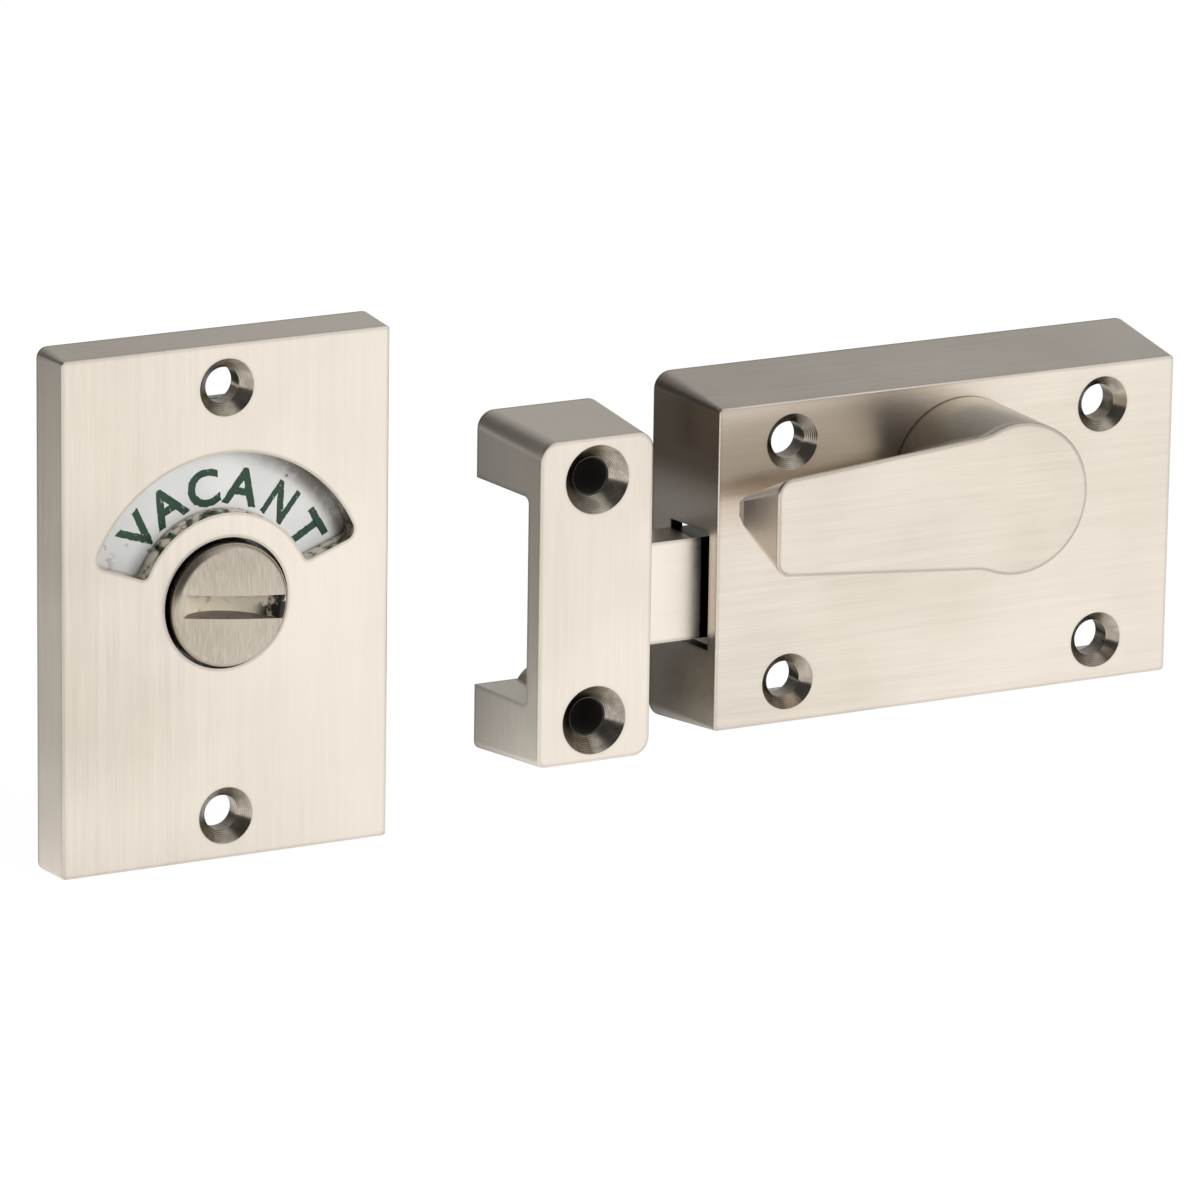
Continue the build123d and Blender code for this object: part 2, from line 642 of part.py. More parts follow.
# Indicator plate, open at the back, with its lettered window above the coin turn
with BuildPart() as indicator_plate:
    with BuildSketch(facing(0, sign_centre_x, sign_centre_z)):
        RectangleRounded(sign_width + 2 * sign_draft, sign_height + 2 * sign_draft, sign_back_corner)
    with BuildSketch(facing(sign_depth, sign_centre_x, sign_centre_z)):
        RectangleRounded(sign_width, sign_height, sign_front_corner)
    loft(ruled=True)
    fillet(indicator_plate.faces().sort_by(Axis.Y)[0].edges(), sign_edge)
    inside_width = sign_width + 2 * (sign_draft - sign_side_wall)
    inside_height = sign_height + 2 * (sign_draft - sign_side_wall)
    front_share = sign_cavity_front / sign_depth
    with BuildSketch(facing(0, sign_centre_x, sign_centre_z)):
        RectangleRounded(inside_width, inside_height, sign_front_corner)
    with BuildSketch(facing(sign_cavity_front, sign_centre_x, sign_centre_z)):
        RectangleRounded(
            inside_width - 2 * sign_draft * front_share,
            inside_height - 2 * sign_draft * front_share,
            sign_front_corner,
        )
    loft(ruled=True, mode=Mode.SUBTRACT)
    # Pads behind the wood screws and pads that the bridge is screwed to
    with BuildSketch(facing(sign_cavity_front - sign_pad_height, sign_centre_x, sign_centre_z)):
        with GridLocations(0, sign_screw_spacing, 1, 2):
            Circle(sign_pad_r)
    extrude(amount=sign_pad_height + sign_front_wall / 2)
    with BuildSketch(facing(bridge_thick, sign_centre_x, sign_centre_z)):
        with GridLocations(bridge_screw_spacing_x, bridge_screw_spacing_z, 2, 2):
            Circle(bridge_pad_r)
    extrude(amount=sign_cavity_front - bridge_thick + sign_front_wall / 2)
    # Window, a part of a ring with rounded corners
    with BuildSketch(facing(0, sign_centre_x, sign_centre_z)) as window:
        with BuildLine():
            window_angle = radians(window_half_angle)
            outer_x = window_outer_r * sin(window_angle)
            outer_z = window_outer_r * cos(window_angle)
            inner_x = window_inner_r * sin(window_angle)
            inner_z = window_inner_r * cos(window_angle)
            ThreePointArc((-outer_x, outer_z), (0, window_outer_r), (outer_x, outer_z))
            Line((outer_x, outer_z), (inner_x, inner_z))
            ThreePointArc((inner_x, inner_z), (0, window_inner_r), (-inner_x, inner_z))
            Line((-inner_x, inner_z), (-outer_x, outer_z))
        make_face()
        fillet(window.vertices().group_by(Axis.Y)[-1], window_outer_corner)
        fillet(window.vertices().group_by(Axis.Y)[0], window_inner_corner)
    extrude(amount=sign_depth + overrun, mode=Mode.SUBTRACT)
    # Holes
    with Locations(facing(sign_depth, sign_centre_x, sign_centre_z)):
        Hole(coin_hole_r, depth=sign_depth)
        with GridLocations(0, sign_screw_spacing, 1, 2):
            CounterSinkHole(
                sign_screw_hole_r,
                sign_screw_sink_r,
                depth=sign_depth,
                counter_sink_angle=countersink_angle,
            )
    with Locations(backing(bridge_thick, sign_centre_x, sign_centre_z)):
        with GridLocations(bridge_screw_spacing_x, bridge_screw_spacing_z, 2, 2):
            Hole(small_screw_r + fixed_gap, depth=bridge_screw_length - bridge_thick + fixed_gap)
save(indicator_plate, "indicator_plate")

# Coin turn, a domed button on a stub, with a slot sawn across it
with BuildPart() as coin_turn:
    dome_r = (coin_r ** 2 + coin_dome_rise ** 2) / (2 * coin_dome_rise)
    mid_x = coin_r / 2
    mid_rise = (dome_r ** 2 - mid_x ** 2) ** (1 / 2) - dome_r + coin_dome_rise
    with BuildSketch(Plane.XY.offset(sign_centre_z)) as coin_profile:
        with BuildLine():
            Polyline(
                (sign_centre_x, -coin_crown),
                (sign_centre_x, coin_stub_out),
                (sign_centre_x + coin_stub_r, coin_stub_out),
                (sign_centre_x + coin_stub_r, -disc_front),
                (sign_centre_x + coin_r, -disc_front),
                (sign_centre_x + coin_r, -coin_face_edge),
            )
            ThreePointArc(
                (sign_centre_x + coin_r, -coin_face_edge),
                (sign_centre_x + mid_x, -coin_face_edge - mid_rise),
                (sign_centre_x, -coin_crown),
            )
        make_face()
        side_corners = coin_profile.vertices().group_by(Axis.X)[-1]
        fillet(side_corners.sort_by(Axis.Y)[0], coin_edge_r)
    revolve(axis=Axis((sign_centre_x, 0, sign_centre_z), (0, 1, 0)))
    saw_r = (coin_slot_half_length ** 2 + coin_slot_depth ** 2) / (2 * coin_slot_depth)
    saw_y = -coin_face_edge + coin_slot_depth - saw_r
    tilt = radians(coin_slot_tilt)
    along_slot = (cos(tilt), 0, -sin(tilt))
    across_slot = (sin(tilt), 0, cos(tilt))
    with BuildSketch(Plane(origin=(sign_centre_x, 0, sign_centre_z), x_dir=along_slot, z_dir=across_slot)):
        with Locations((0, saw_y)):
            Circle(saw_r)
    extrude(amount=coin_slot_width / 2, both=True, mode=Mode.SUBTRACT)
    with Locations(backing(disc_front, sign_centre_x, sign_centre_z)):
        with PolarLocations(disc_rivet_ring_r, disc_rivets_count, start_angle=first_rivet_angle):
            Hole(disc_rivet_r + fixed_gap, depth=disc_rivet_depth + fixed_gap)
    # Groove of the retaining ring, socket of the tail bar and hole of its pin
    with BuildSketch(backing(-ring_gap / 2, sign_centre_x, sign_centre_z)):
        Circle(coin_stub_r + overrun)
        Circle(ring_groove_r, mode=Mode.SUBTRACT)
    extrude(amount=ring_thick + ring_gap, mode=Mode.SUBTRACT)
    bar_socket = tail_bar_side + tail_socket_gap
    with BuildSketch(facing(-coin_stub_out, sign_centre_x, sign_centre_z)):
        Rectangle(bar_socket, bar_socket)
    extrude(amount=coin_stub_out + tail_bar_inside + tail_socket_gap, mode=Mode.SUBTRACT)
    with Locations(Plane.XY.offset(sign_centre_z + coin_r)):
        with Locations((sign_centre_x, tail_pin_back)):
            Hole(tail_pin_r + fixed_gap, depth=2 * coin_r)
save(coin_turn, "coin_turn")

# Lettered disc, with the curved slot that its stop pin runs in
with BuildPart() as indicator_disc:
    with BuildSketch(facing(disc_back, sign_centre_x, sign_centre_z)):
        Circle(disc_r)
        Circle(coin_stub_r + fixed_gap, mode=Mode.SUBTRACT)
        with BuildLine() as stop_path:
            CenterArc((0, 0), sign_stop_ring_r, half_turn / 2, half_turn)
        SlotArc(stop_path.wires()[0], 2 * (sign_stop_r + sign_stop_gap), mode=Mode.SUBTRACT)
        with PolarLocations(disc_rivet_ring_r, disc_rivets_count, start_angle=first_rivet_angle):
            Circle(disc_rivet_r + fixed_gap, mode=Mode.SUBTRACT)
    extrude(amount=disc_thick)
save(indicator_disc, "indicator_disc")

# Rivets that fasten the disc to the coin turn
with BuildPart() as disc_rivets:
    with BuildSketch(facing(disc_back, sign_centre_x, sign_centre_z)):
        with PolarLocations(disc_rivet_ring_r, disc_rivets_count, start_angle=first_rivet_angle):
            Circle(disc_rivet_r)
    extrude(amount=disc_thick + disc_rivet_depth)
    with BuildSketch(backing(disc_back, sign_centre_x, sign_centre_z)):
        with PolarLocations(disc_rivet_ring_r, disc_rivets_count, start_angle=first_rivet_angle):
            Circle(disc_rivet_head_r)
    extrude(amount=disc_rivet_head)
save(disc_rivets, "disc_rivets")

# Washer between the disc and the bridge
with BuildPart() as indicator_washer:
    with BuildSketch(facing(bridge_thick + face_gap, sign_centre_x, sign_centre_z)):
        Circle(sign_washer_r)
        Circle(sign_washer_inner_r, mode=Mode.SUBTRACT)
    extrude(amount=sign_washer_thick)
save(indicator_washer, "indicator_washer")

# Bridge across the back of the indicator plate, which carries the coin turn's stub
with BuildPart() as indicator_bridge:
    with BuildSketch(facing(0, sign_centre_x, sign_centre_z)):
        Rectangle(bridge_web, bridge_screw_spacing_z)
        with GridLocations(0, bridge_screw_spacing_z, 1, 2):
            RectangleRounded(bridge_end_width, bridge_end_height, bridge_end_corner)
    extrude(amount=bridge_thick)
    with Locations(backing(0, sign_centre_x, sign_centre_z)):
        Hole(coin_stub_r + running_gap, depth=bridge_thick + overrun)
        with Locations((0, -sign_stop_ring_r)):
            Hole(sign_stop_r + fixed_gap, depth=bridge_thick + overrun)
        with GridLocations(bridge_screw_spacing_x, bridge_screw_spacing_z, 2, 2):
            CounterSinkHole(
                small_screw_r + fixed_gap,
                small_screw_head_r + slide_gap,
                depth=bridge_thick + overrun,
                counter_sink_angle=countersink_angle,
            )
save(indicator_bridge, "indicator_bridge")

# Screws of the bridge
with BuildPart() as bridge_screws:
    with BuildSketch(facing(hub_recess, sign_centre_x, sign_centre_z)):
        with GridLocations(bridge_screw_spacing_x, bridge_screw_spacing_z, 2, 2):
            Circle(small_screw_head_r)
    extrude(amount=small_screw_head, taper=countersink_angle / 2)
    with BuildSketch(facing(hub_recess, sign_centre_x, sign_centre_z)):
        with GridLocations(bridge_screw_spacing_x, bridge_screw_spacing_z, 2, 2):
            Circle(small_screw_r)
    extrude(amount=bridge_screw_length - hub_recess)
    with BuildSketch(facing(hub_recess, sign_centre_x, sign_centre_z)):
        with GridLocations(bridge_screw_spacing_x, bridge_screw_spacing_z, 2, 2):
            Rectangle(2 * small_screw_head_r, small_screw_slot)
    extrude(amount=small_screw_slot_depth, mode=Mode.SUBTRACT)
save(bridge_screws, "bridge_screws")

# Stop pin in the bridge, which the disc's curved slot runs on
with BuildPart() as indicator_stop_pin:
    with BuildSketch(facing(0, sign_centre_x, sign_centre_z)):
        with Locations((0, -sign_stop_ring_r)):
            Circle(sign_stop_r)
    extrude(amount=disc_front + fixed_gap)
save(indicator_stop_pin, "indicator_stop_pin")

# Retaining ring behind the bridge, open at the bottom
with BuildPart() as retaining_ring:
    with BuildSketch(backing(-ring_gap, sign_centre_x, sign_centre_z)):
        Circle(ring_outer_r)
        Circle(ring_groove_r + fixed_gap, mode=Mode.SUBTRACT)
        with BuildLine():
            opening_x = ring_outer_r * sin(radians(ring_opening_angle / 2)) * 2
            opening_z = ring_outer_r * cos(radians(ring_opening_angle / 2)) * 2
            Polyline((0, 0), (-opening_x, -opening_z), (opening_x, -opening_z), close=True)
        make_face(mode=Mode.SUBTRACT)
    extrude(amount=ring_thick)
save(retaining_ring, "retaining_ring")

# Square tail bar that reaches through the door to the spindle's socket
with BuildPart() as tail_bar:
    with BuildSketch(facing(tail_bar_inside, sign_centre_x, sign_centre_z)):
        Rectangle(tail_bar_side, tail_bar_side)
    extrude(amount=-(tail_bar_inside + tail_bar_out))
    chamfer(tail_bar.faces().sort_by(Axis.Y)[-1].edges(), tail_bar_chamfer)
    with Locations(Plane.XY.offset(sign_centre_z + coin_r)):
        with Locations((sign_centre_x, tail_pin_back)):
            Hole(tail_pin_r + fixed_gap, depth=2 * coin_r)
save(tail_bar, "tail_bar")

# Cross pin that holds the tail bar in the coin turn
with BuildPart() as tail_bar_pin:
    with BuildSketch(Plane.XY.offset(sign_centre_z)):
        with Locations((sign_centre_x, tail_pin_back)):
            Circle(tail_pin_r)
    extrude(amount=tail_pin_half_length, both=True)
save(tail_bar_pin, "tail_bar_pin")
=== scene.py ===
import math
from collections import namedtuple

import bmesh
import bpy
from mathutils import Matrix, Vector, noise


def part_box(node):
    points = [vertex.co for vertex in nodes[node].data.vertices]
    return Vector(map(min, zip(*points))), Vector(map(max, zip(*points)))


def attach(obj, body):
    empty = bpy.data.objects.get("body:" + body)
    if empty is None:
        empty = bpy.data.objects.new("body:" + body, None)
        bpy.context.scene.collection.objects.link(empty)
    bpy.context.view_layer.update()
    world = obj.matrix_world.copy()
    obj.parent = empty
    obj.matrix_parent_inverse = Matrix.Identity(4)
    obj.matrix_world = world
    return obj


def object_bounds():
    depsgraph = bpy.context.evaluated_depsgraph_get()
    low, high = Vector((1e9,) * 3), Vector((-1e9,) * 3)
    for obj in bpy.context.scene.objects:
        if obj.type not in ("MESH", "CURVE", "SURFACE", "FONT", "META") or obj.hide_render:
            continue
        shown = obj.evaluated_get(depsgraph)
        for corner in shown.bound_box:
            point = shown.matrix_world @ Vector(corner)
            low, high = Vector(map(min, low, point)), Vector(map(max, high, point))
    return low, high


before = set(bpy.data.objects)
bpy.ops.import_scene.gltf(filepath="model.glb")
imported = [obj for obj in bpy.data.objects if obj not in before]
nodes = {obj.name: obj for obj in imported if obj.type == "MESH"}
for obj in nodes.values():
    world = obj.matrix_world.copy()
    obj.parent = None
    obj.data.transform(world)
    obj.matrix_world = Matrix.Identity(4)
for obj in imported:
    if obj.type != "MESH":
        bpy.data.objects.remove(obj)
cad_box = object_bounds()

# Looks of a toilet indicator bolt in satin nickel. Lengths are in metres.
MM = 0.001
collection = bpy.context.scene.collection


def centre(name):
    low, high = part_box(name)
    return (low + high) / 2


# Places taken from the frame
CASE_LOW, CASE_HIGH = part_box("bolt_case")
SIGN_LOW, SIGN_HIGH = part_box("indicator_plate")
TURN_LOW, TURN_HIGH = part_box("thumbturn")
BOLT_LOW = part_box("bolt")[0]
CASE_MID = centre("bolt_case")
SIGN_MID = centre("indicator_plate")
COIN_MID = centre("coin_turn")
STEM_MID = centre("turn_washer")
CASE_FRONT = CASE_LOW.y
KEEP_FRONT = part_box("keep")[0].y
SIGN_FRONT = SIGN_LOW.y
DISC_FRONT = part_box("indicator_disc")[0].y
STEM_RADIUS = TURN_HIGH.x - STEM_MID.x

# Colours, as linear values
NICKEL = (0.80, 0.735, 0.635)
NICKEL_PINK = (0.82, 0.735, 0.655)
NICKEL_DULL = (0.62, 0.555, 0.47)
NICKEL_SHEEN = (0.95, 0.885, 0.78)
COIN_SHADE = (0.40, 0.35, 0.285)
EDGE_SHADE = (0.27, 0.23, 0.185)
LIP_HIGHLIGHT = (0.95, 0.90, 0.80)
# Brown of the stains in the countersinks, and of painted shade
STAIN_AND_SHADE_BROWN = (0.20, 0.155, 0.115)
KEEP_SINK_BROWN = (0.12, 0.09, 0.065)
SINK_LIGHT = (0.50, 0.425, 0.335)
SHADE_AND_MARK_BLACK = (0.012, 0.010, 0.009)
WINDOW_LIGHT = (0.66, 0.60, 0.50)
WINDOW_DARK = (0.13, 0.115, 0.09)
ENAMEL = (0.86, 0.865, 0.84)
ENAMEL_GREY = (0.76, 0.765, 0.75)
ENAMEL_LEFT = (0.66, 0.66, 0.64)
ENAMEL_DIRT = (0.20, 0.16, 0.13)
CHIP_RED = (0.22, 0.05, 0.04)
GREEN = (0.014, 0.052, 0.028)
RED = (0.42, 0.03, 0.03)
INK_WORN = (0.45, 0.50, 0.46)
ZINC = (0.55, 0.56, 0.57)
SPRING_GREY = (0.20, 0.20, 0.21)
SLOT_CREAM = (0.97, 0.87, 0.70)
SLOT_STAIN = (0.42, 0.33, 0.23)
WALL_BROWN = (0.16, 0.13, 0.10)
WALL_GREY = (0.27, 0.235, 0.19)
FLOOR_WHITE = (0.9, 0.9, 0.9)

# Spans of a noise texture's value, from its usual low to its usual high
NOISE_SPAN = (0.3, 0.7)
FINE_SPAN = (0.25, 0.75)
FINE_WIDE_SPAN = (0.2, 0.8)


class Nodes:
    """Short calls for the nodes of one tree."""

    def __init__(self, tree):
        self.tree = tree

    def add(self, kind, inputs=None, **settings):
        made = self.tree.nodes.new(kind)
        for key, value in settings.items():
            setattr(made, key, value)
        for key, value in (inputs or {}).items():
            self.feed(made.inputs[key], value)
        return made

    def feed(self, socket, value):
        if isinstance(value, bpy.types.NodeSocket):
            self.tree.links.new(value, socket)
        else:
            socket.default_value = value

    def math(self, operation, first, second=0.0, clamp=False):
        made = self.add("ShaderNodeMath", operation=operation, use_clamp=clamp)
        self.feed(made.inputs[0], first)
        self.feed(made.inputs[1], second)
        return made.outputs[0]

    def plus(self, total, *others):
        for other in others:
            total = self.math("ADD", total, other)
        return total

    def minus(self, first, second):
        return self.math("SUBTRACT", first, second)

    def times(self, product, *others):
        for other in others:
            product = self.math("MULTIPLY", product, other)
        return product

    def size(self, value):
        return self.math("ABSOLUTE", value)

    def less(self, value, limit):
        return self.math("LESS_THAN", value, limit)

    def more(self, value, limit):
        return self.math("GREATER_THAN", value, limit)

    def dot(self, first, second):
        made = self.add("ShaderNodeVectorMath", {0: first, 1: second}, operation="DOT_PRODUCT")
        return made.outputs["Value"]

    def blend(self, share, first, second):
        made = self.add("ShaderNodeMix", data_type="FLOAT")
        self.feed(made.inputs[0], share)
        self.feed(made.inputs[2], first)
        self.feed(made.inputs[3], second)
        return made.outputs[0]

    def ramp(self, value, span, out=(0.0, 1.0)):
        """A smooth step that goes from out's first value to its second over a span."""
        made = self.add("ShaderNodeMapRange", {"Value": value}, interpolation_type="SMOOTHSTEP")
        made.inputs["From Min"].default_value = span[0]
        made.inputs["From Max"].default_value = span[1]
        made.inputs["To Min"].default_value = out[0]
        made.inputs["To Max"].default_value = out[1]
        return made.outputs["Result"]


class Shader(Nodes):
    """A Principled material with the places and normals that its nodes start from."""

    def __init__(self, name):
        self.material = bpy.data.materials.new(name)
        self.material.use_nodes = True
        super().__init__(self.material.node_tree)
        self.bsdf = self.tree.nodes["Principled BSDF"]
        self.place = self.add("ShaderNodeTexCoord").outputs["Object"]
        self.x, self.y, self.z = self.split(self.place)
        geometry = self.add("ShaderNodeNewGeometry")
        self.true_normal = geometry.outputs["True Normal"]
        self.normal_x, self.normal_y, self.normal_z = self.split(self.true_normal)
        self.smooth_x = self.split(geometry.outputs["Normal"])[0]

    def split(self, vector):
        made = self.add("ShaderNodeSeparateXYZ", {"Vector": vector})
        return tuple(made.outputs[axis] for axis in "XYZ")

    def mix(self, share, first, second):
        made = self.add("ShaderNodeMix", data_type="RGBA")
        self.feed(made.inputs[0], share)
        for socket, value in ((made.inputs[6], first), (made.inputs[7], second)):
            self.feed(socket, value if isinstance(value, bpy.types.NodeSocket) else (*value, 1))
        return made.outputs[2]

    def noise(self, scale, stretch=(1, 1, 1), detail=3.0, rough=0.55, shift=(0, 0, 0)):
        spread = self.add("ShaderNodeMapping", {"Vector": self.place})
        spread.inputs["Scale"].default_value = stretch
        spread.inputs["Location"].default_value = shift
        made = self.add("ShaderNodeTexNoise", {"Vector": spread.outputs["Vector"]})
        made.inputs["Scale"].default_value = scale
        made.inputs["Detail"].default_value = detail
        made.inputs["Roughness"].default_value = rough
        return made.outputs["Fac"]

    def bump(self, height, distance, strength=1.0, under=None):
        made = self.add("ShaderNodeBump", {"Height": height})
        made.inputs["Distance"].default_value = distance
        made.inputs["Strength"].default_value = strength
        if under is not None:
            self.feed(made.inputs["Normal"], under)
        return made.outputs["Normal"]

    def either(self, share, first, second):
        """Two shaders mixed."""
        made = self.add("ShaderNodeMixShader", {"Fac": share})
        self.feed(made.inputs[1], first)
        self.feed(made.inputs[2], second)
        return made.outputs[0]

    def radius(self, middle_x, middle_z, half_x=0.0, half_z=0.0):
        """Distance from the nearest of the axes at half_x and half_z about a middle."""
        across = self.minus(self.x, middle_x)
        along = self.minus(self.z, middle_z)
        if half_x:
            across = self.minus(self.size(across), half_x)
        if half_z:
            along = self.minus(self.size(along), half_z)
        return self.math("SQRT", self.plus(self.times(across, across), self.times(along, along)))

    def finish(self, **values):
        """Feed the Principled sockets, with an underscore for each blank in their names."""
        for key, value in values.items():
            socket = self.bsdf.inputs[key.replace("_", " ")]
            if isinstance(value, tuple) and socket.type == "RGBA":
                value = (*value, 1)
            self.feed(socket, value)
        return self.material


def stretched(axis, along, across):
    """Texture scales that draw a grain along one axis."""
    return tuple(along if index == "XYZ".index(axis) else across for index in range(3))


# Countersinks: half the spacing along X and Z, the rim, the middle, the front face and the stain
Sinks = namedtuple("Sinks", "half_x half_z rim middle_x middle_z front brown")
CASE_SINKS = Sinks(26.0 * MM, 18.0 * MM, 4.2 * MM, CASE_MID.x, CASE_MID.z, CASE_FRONT, STAIN_AND_SHADE_BROWN)
KEEP_SINKS = Sinks(0.0, 17.9 * MM, 5.1 * MM, -57.7 * MM, -2.0 * MM, KEEP_FRONT, KEEP_SINK_BROWN)
SIGN_SINKS = Sinks(0.0, 31.4 * MM, 4.2 * MM, SIGN_MID.x, SIGN_MID.z, SIGN_FRONT, STAIN_AND_SHADE_BROWN)
SINK_OVER_RIM = 0.12 * MM
SINK_UNDER_FRONT = 0.02 * MM
SINK_SMUDGE_SCALE = 420.0
SINK_SMUDGE_SPAN = (0.36, 0.72)
SINK_ROUGH = 0.17
BORE_SHARE = 0.57
BORE_ROUGH = 0.85
TURNING_PITCH = 0.22 * MM
TURNING_DEPTH = 0.01 * MM
TURNING_BUMP = 0.6
TURNING_DARK = 0.25
LIP_OUTSIDE = 0.45 * MM
LIP_INSIDE = 0.05 * MM
LIP_HIGHLIGHT_SHARE = 0.22


def countersinks(s, colour, rough, normal, sinks, shift):
    """Turned and stained countersinks with a bore painted black as shade and a painted highlight on the lip.
    """
    ring = s.radius(sinks.middle_x, sinks.middle_z, sinks.half_x, sinks.half_z)
    near = s.less(ring, sinks.rim + SINK_OVER_RIM)
    sunk = s.times(near, s.more(s.y, sinks.front + SINK_UNDER_FRONT))
    turned = s.math("SINE", s.times(ring, 2 * math.pi / TURNING_PITCH))
    smudge = s.noise(SINK_SMUDGE_SCALE, detail=4.0, rough=0.6, shift=shift)
    stained = s.mix(s.ramp(smudge, SINK_SMUDGE_SPAN), sinks.brown, SINK_LIGHT)
    stained = s.mix(s.times(s.ramp(turned, (-1, 1)), TURNING_DARK), stained, SHADE_AND_MARK_BLACK)
    # Painted shade: the bore inside the countersink is black
    bored = s.less(ring, BORE_SHARE * sinks.rim)
    stained = s.mix(bored, stained, SHADE_AND_MARK_BLACK)
    colour = s.mix(sunk, colour, stained)
    rough = s.blend(sunk, rough, s.blend(bored, SINK_ROUGH, BORE_ROUGH))
    # Painted highlight along the countersink's lip
    lip = s.ramp(ring, (sinks.rim + LIP_OUTSIDE, sinks.rim + LIP_INSIDE))
    colour = s.mix(s.times(lip, LIP_HIGHLIGHT_SHARE), colour, LIP_HIGHLIGHT)
    normal = s.bump(s.times(turned, sunk), TURNING_DEPTH, TURNING_BUMP, normal)
    return colour, rough, normal


# Walls of the indicator plate's window and of the coin turn's hole
WINDOW_RADIUS = 22.3 * MM
WINDOW_UNDER_FRONT = 0.12 * MM
WINDOW_MOTTLE_SCALE = 900.0
WINDOW_MOTTLE_SPAN = (0.48, 0.64)
WINDOW_ROUGH = 0.22
COIN_HOLE_RADIUS = 11.0 * MM


def sign_marks(s, colour, rough):
    """Walls round the window mottled with painted reflection and shade, and black as painted shade in the
    coin turn's hole.
    """
    ring = s.radius(COIN_MID.x, COIN_MID.z)
    inside = s.times(s.less(ring, WINDOW_RADIUS), s.more(s.y, SIGN_FRONT + WINDOW_UNDER_FRONT))
    mottle = s.noise(WINDOW_MOTTLE_SCALE, detail=4.0, rough=0.6)
    wall = s.mix(s.ramp(mottle, WINDOW_MOTTLE_SPAN), WINDOW_LIGHT, WINDOW_DARK)
    # Painted shade: black in the coin turn's hole
    wall = s.mix(s.less(ring, COIN_HOLE_RADIUS), wall, SHADE_AND_MARK_BLACK)
    return s.mix(inside, colour, wall), s.blend(inside, rough, WINDOW_ROUGH)


# The case's mouth, painted black as shade about the height of the bolt's end, and painted shade high on the
# case's left side
END_HEIGHT = 15.2 * MM
END_MID_Z = BOLT_LOW.z + END_HEIGHT / 2
MOUTH_GAP = 1.3 * MM
MOUTH_TURNED = 0.6
MOUTH_UNDER_FRONT = 0.5 * MM
MOUTH_LENGTH = 6.0 * MM
LEFT_SHADE_TURNED = (-0.70, -0.97)
LEFT_SHADE_LENGTH = 2.0 * MM
LEFT_SHADE_SPAN = (CASE_HIGH.z - 19 * MM, CASE_HIGH.z - 11 * MM)
LEFT_SHADE_SHARE = (0.1, 0.92)


def case_marks(s, colour, rough):
    """Painted shade: black walls in the bolt's mouth, and brown high on the left side."""
    # Painted shade: black on the walls of the bolt's mouth
    mouth = s.times(
        s.less(s.size(s.minus(s.z, END_MID_Z)), END_HEIGHT / 2 + MOUTH_GAP),
        s.less(s.size(s.normal_x), MOUTH_TURNED),
        s.more(s.y, CASE_FRONT + MOUTH_UNDER_FRONT),
        s.less(s.x, CASE_LOW.x + MOUTH_LENGTH),
    )
    colour = s.mix(mouth, colour, SHADE_AND_MARK_BLACK)
    # Painted shade, brown, high on the case's left side
    left_shade = s.times(
        s.ramp(s.smooth_x, LEFT_SHADE_TURNED),
        s.less(s.x, CASE_LOW.x + LEFT_SHADE_LENGTH),
        s.ramp(s.z, LEFT_SHADE_SPAN, LEFT_SHADE_SHARE),
    )
    return s.mix(left_shade, colour, STAIN_AND_SHADE_BROWN), rough


# Painted shade on the bolt where it runs into the dark of the case, a little sooner on its top
BOLT_DARK_SPAN = (CASE_LOW.x + 1.7 * MM, CASE_LOW.x + 2.0 * MM)
BOLT_TOP_SOONER = 1.5 * MM
FACING_UP = 0.5


def bolt_marks(s, colour, rough):
    """Painted shade, black, from the case's mouth inwards."""
    reach = s.plus(s.x, s.times(s.more(s.normal_z, FACING_UP), BOLT_TOP_SOONER))
    return s.mix(s.ramp(reach, BOLT_DARK_SPAN), colour, SHADE_AND_MARK_BLACK), rough


# The lever's back, with painted shade towards the stem, and painted shade on the left of its round end
FACING_BACK = 0.3
LEVER_BACK_SPAN = (-14 * MM, -3 * MM)
LEVER_BACK_SHARE = (0.0, 0.95)
STEM_REACH = 0.3 * MM
STEM_UNDER_FRONT = 1.5 * MM
STEM_SHADE_SPAN = (3 * MM, -8 * MM)
STEM_SHADE_SHARE = (0.0, 0.62)


def lever_marks(s, colour, rough):
    """Painted shade, brown, on the lever's back near the stem and round the stem's left."""
    behind = s.more(s.normal_y, FACING_BACK)
    dark = s.times(behind, s.ramp(s.x, LEVER_BACK_SPAN, LEVER_BACK_SHARE))
    colour = s.mix(dark, colour, STAIN_AND_SHADE_BROWN)
    # Painted shade on the left of the stem's round end
    shaded = s.times(
        s.less(s.radius(STEM_MID.x, STEM_MID.z), STEM_RADIUS + STEM_REACH),
        s.more(s.y, TURN_LOW.y + STEM_UNDER_FRONT),
        s.ramp(s.minus(s.x, STEM_MID.x), STEM_SHADE_SPAN, STEM_SHADE_SHARE),
    )
    return s.mix(shaded, colour, STAIN_AND_SHADE_BROWN), rough


# Satin nickel's grain, as scales along and across it, and the thin line of painted shade along its edges
FINE_GRAIN = (90, 5200)
STREAK_GRAIN = (22, 900)
CLOUD_SCALE = 38.0
TINT_SCALE = 26.0
TINT_SPAN = (0.35, 0.65)
FINE_TONE = (-0.5, 0.5)
STREAK_TONE = (-0.5, 0.5)
CLOUD_TONE = (-0.9, 0.9)
GRAIN_SHARE = 0.21
DULL_SHARE = 0.28
CLOUD_ROUGH = (0.30, 0.38)
FINE_ROUGH = (-0.04, 0.05)
FINE_HEIGHT = 0.006 * MM
FINE_BUMP = 0.55
STREAK_HEIGHT = 0.012 * MM
STREAK_BUMP = 0.35
SATIN_ANISOTROPY = 0.35
OUTLINE_RADIUS = 1.1 * MM
OUTLINE_SAMPLES = 8
OUTLINE_SPAN = (0.998, 0.94)
OUTLINE_SHARE = 0.4
LEVER_OUTLINE_SHARE = 0.8


